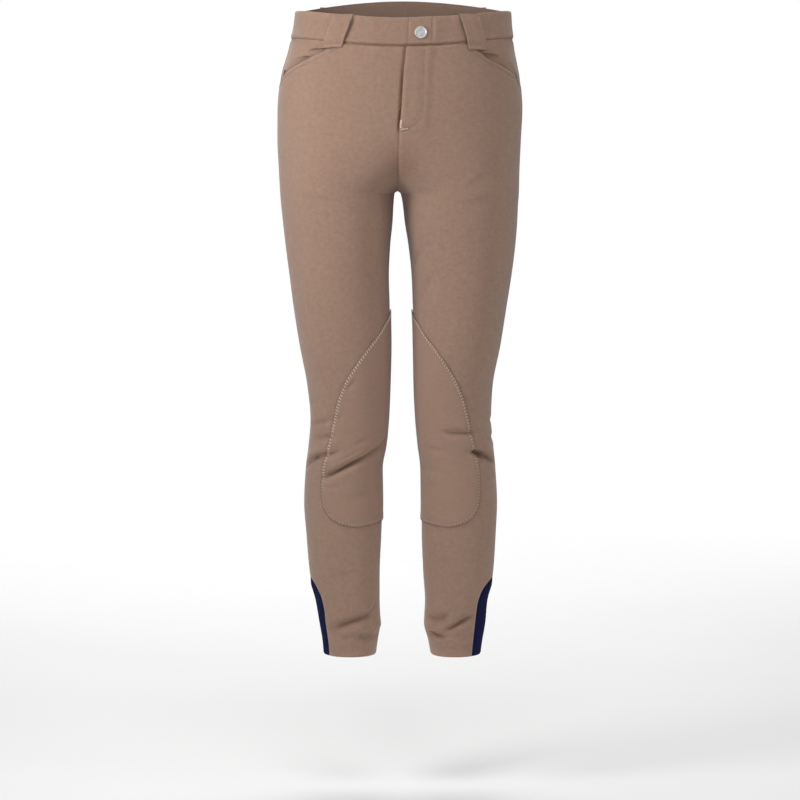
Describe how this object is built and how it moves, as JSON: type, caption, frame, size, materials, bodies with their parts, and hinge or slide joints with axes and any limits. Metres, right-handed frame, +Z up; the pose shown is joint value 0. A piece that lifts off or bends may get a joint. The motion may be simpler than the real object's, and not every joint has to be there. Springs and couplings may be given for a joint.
{
  "type": "riding breeches",
  "caption": "Close-fitting riding breeches with a buttoned waistband, wide belt loops, slant pockets, rounded inner knee patches and stretch insets at the ankles.",
  "frame": {"origin": "middle of the waist opening, level with the top of the waistband at its sides", "axes": "+Z up along the wearer, the front faces -Y, the wearer's left is at +X"},
  "size_m": [0.3243, 0.2324, 0.8721],
  "materials": {
    "main_cloth": "brushed stretch twill, matt with a short nap",
    "patch_cloth": "brushed stretch twill, doubled at the knee",
    "inner_cloth": "plain wrong side of the cloth",
    "inset_knit": "navy elastic knit with fine ribs",
    "button_metal": "dull pewter",
    "zip_metal": "dull"
  },
  "bodies": {
    "root": {"front_right": "main_cloth", "front_left": "main_cloth", "back_right": "main_cloth", "back_left": "main_cloth", "waistband_right": "main_cloth", "waistband_left": "main_cloth", "waistband_tab": "main_cloth", "fly_underlap": "inner_cloth", "fly_zip": "zip_metal", "pocket_facing_right": "main_cloth", "pocket_facing_left": "main_cloth", "belt_loop_front_right": "main_cloth", "belt_loop_front_left": "main_cloth", "belt_loop_back_right": "main_cloth", "belt_loop_back_left": "main_cloth", "belt_loop_back_center": "main_cloth", "knee_patch_right": "patch_cloth", "knee_patch_left": "patch_cloth", "ankle_inset_right": "inset_knit", "ankle_inset_left": "inset_knit", "button": "button_metal"}
  },
  "joints": []
}
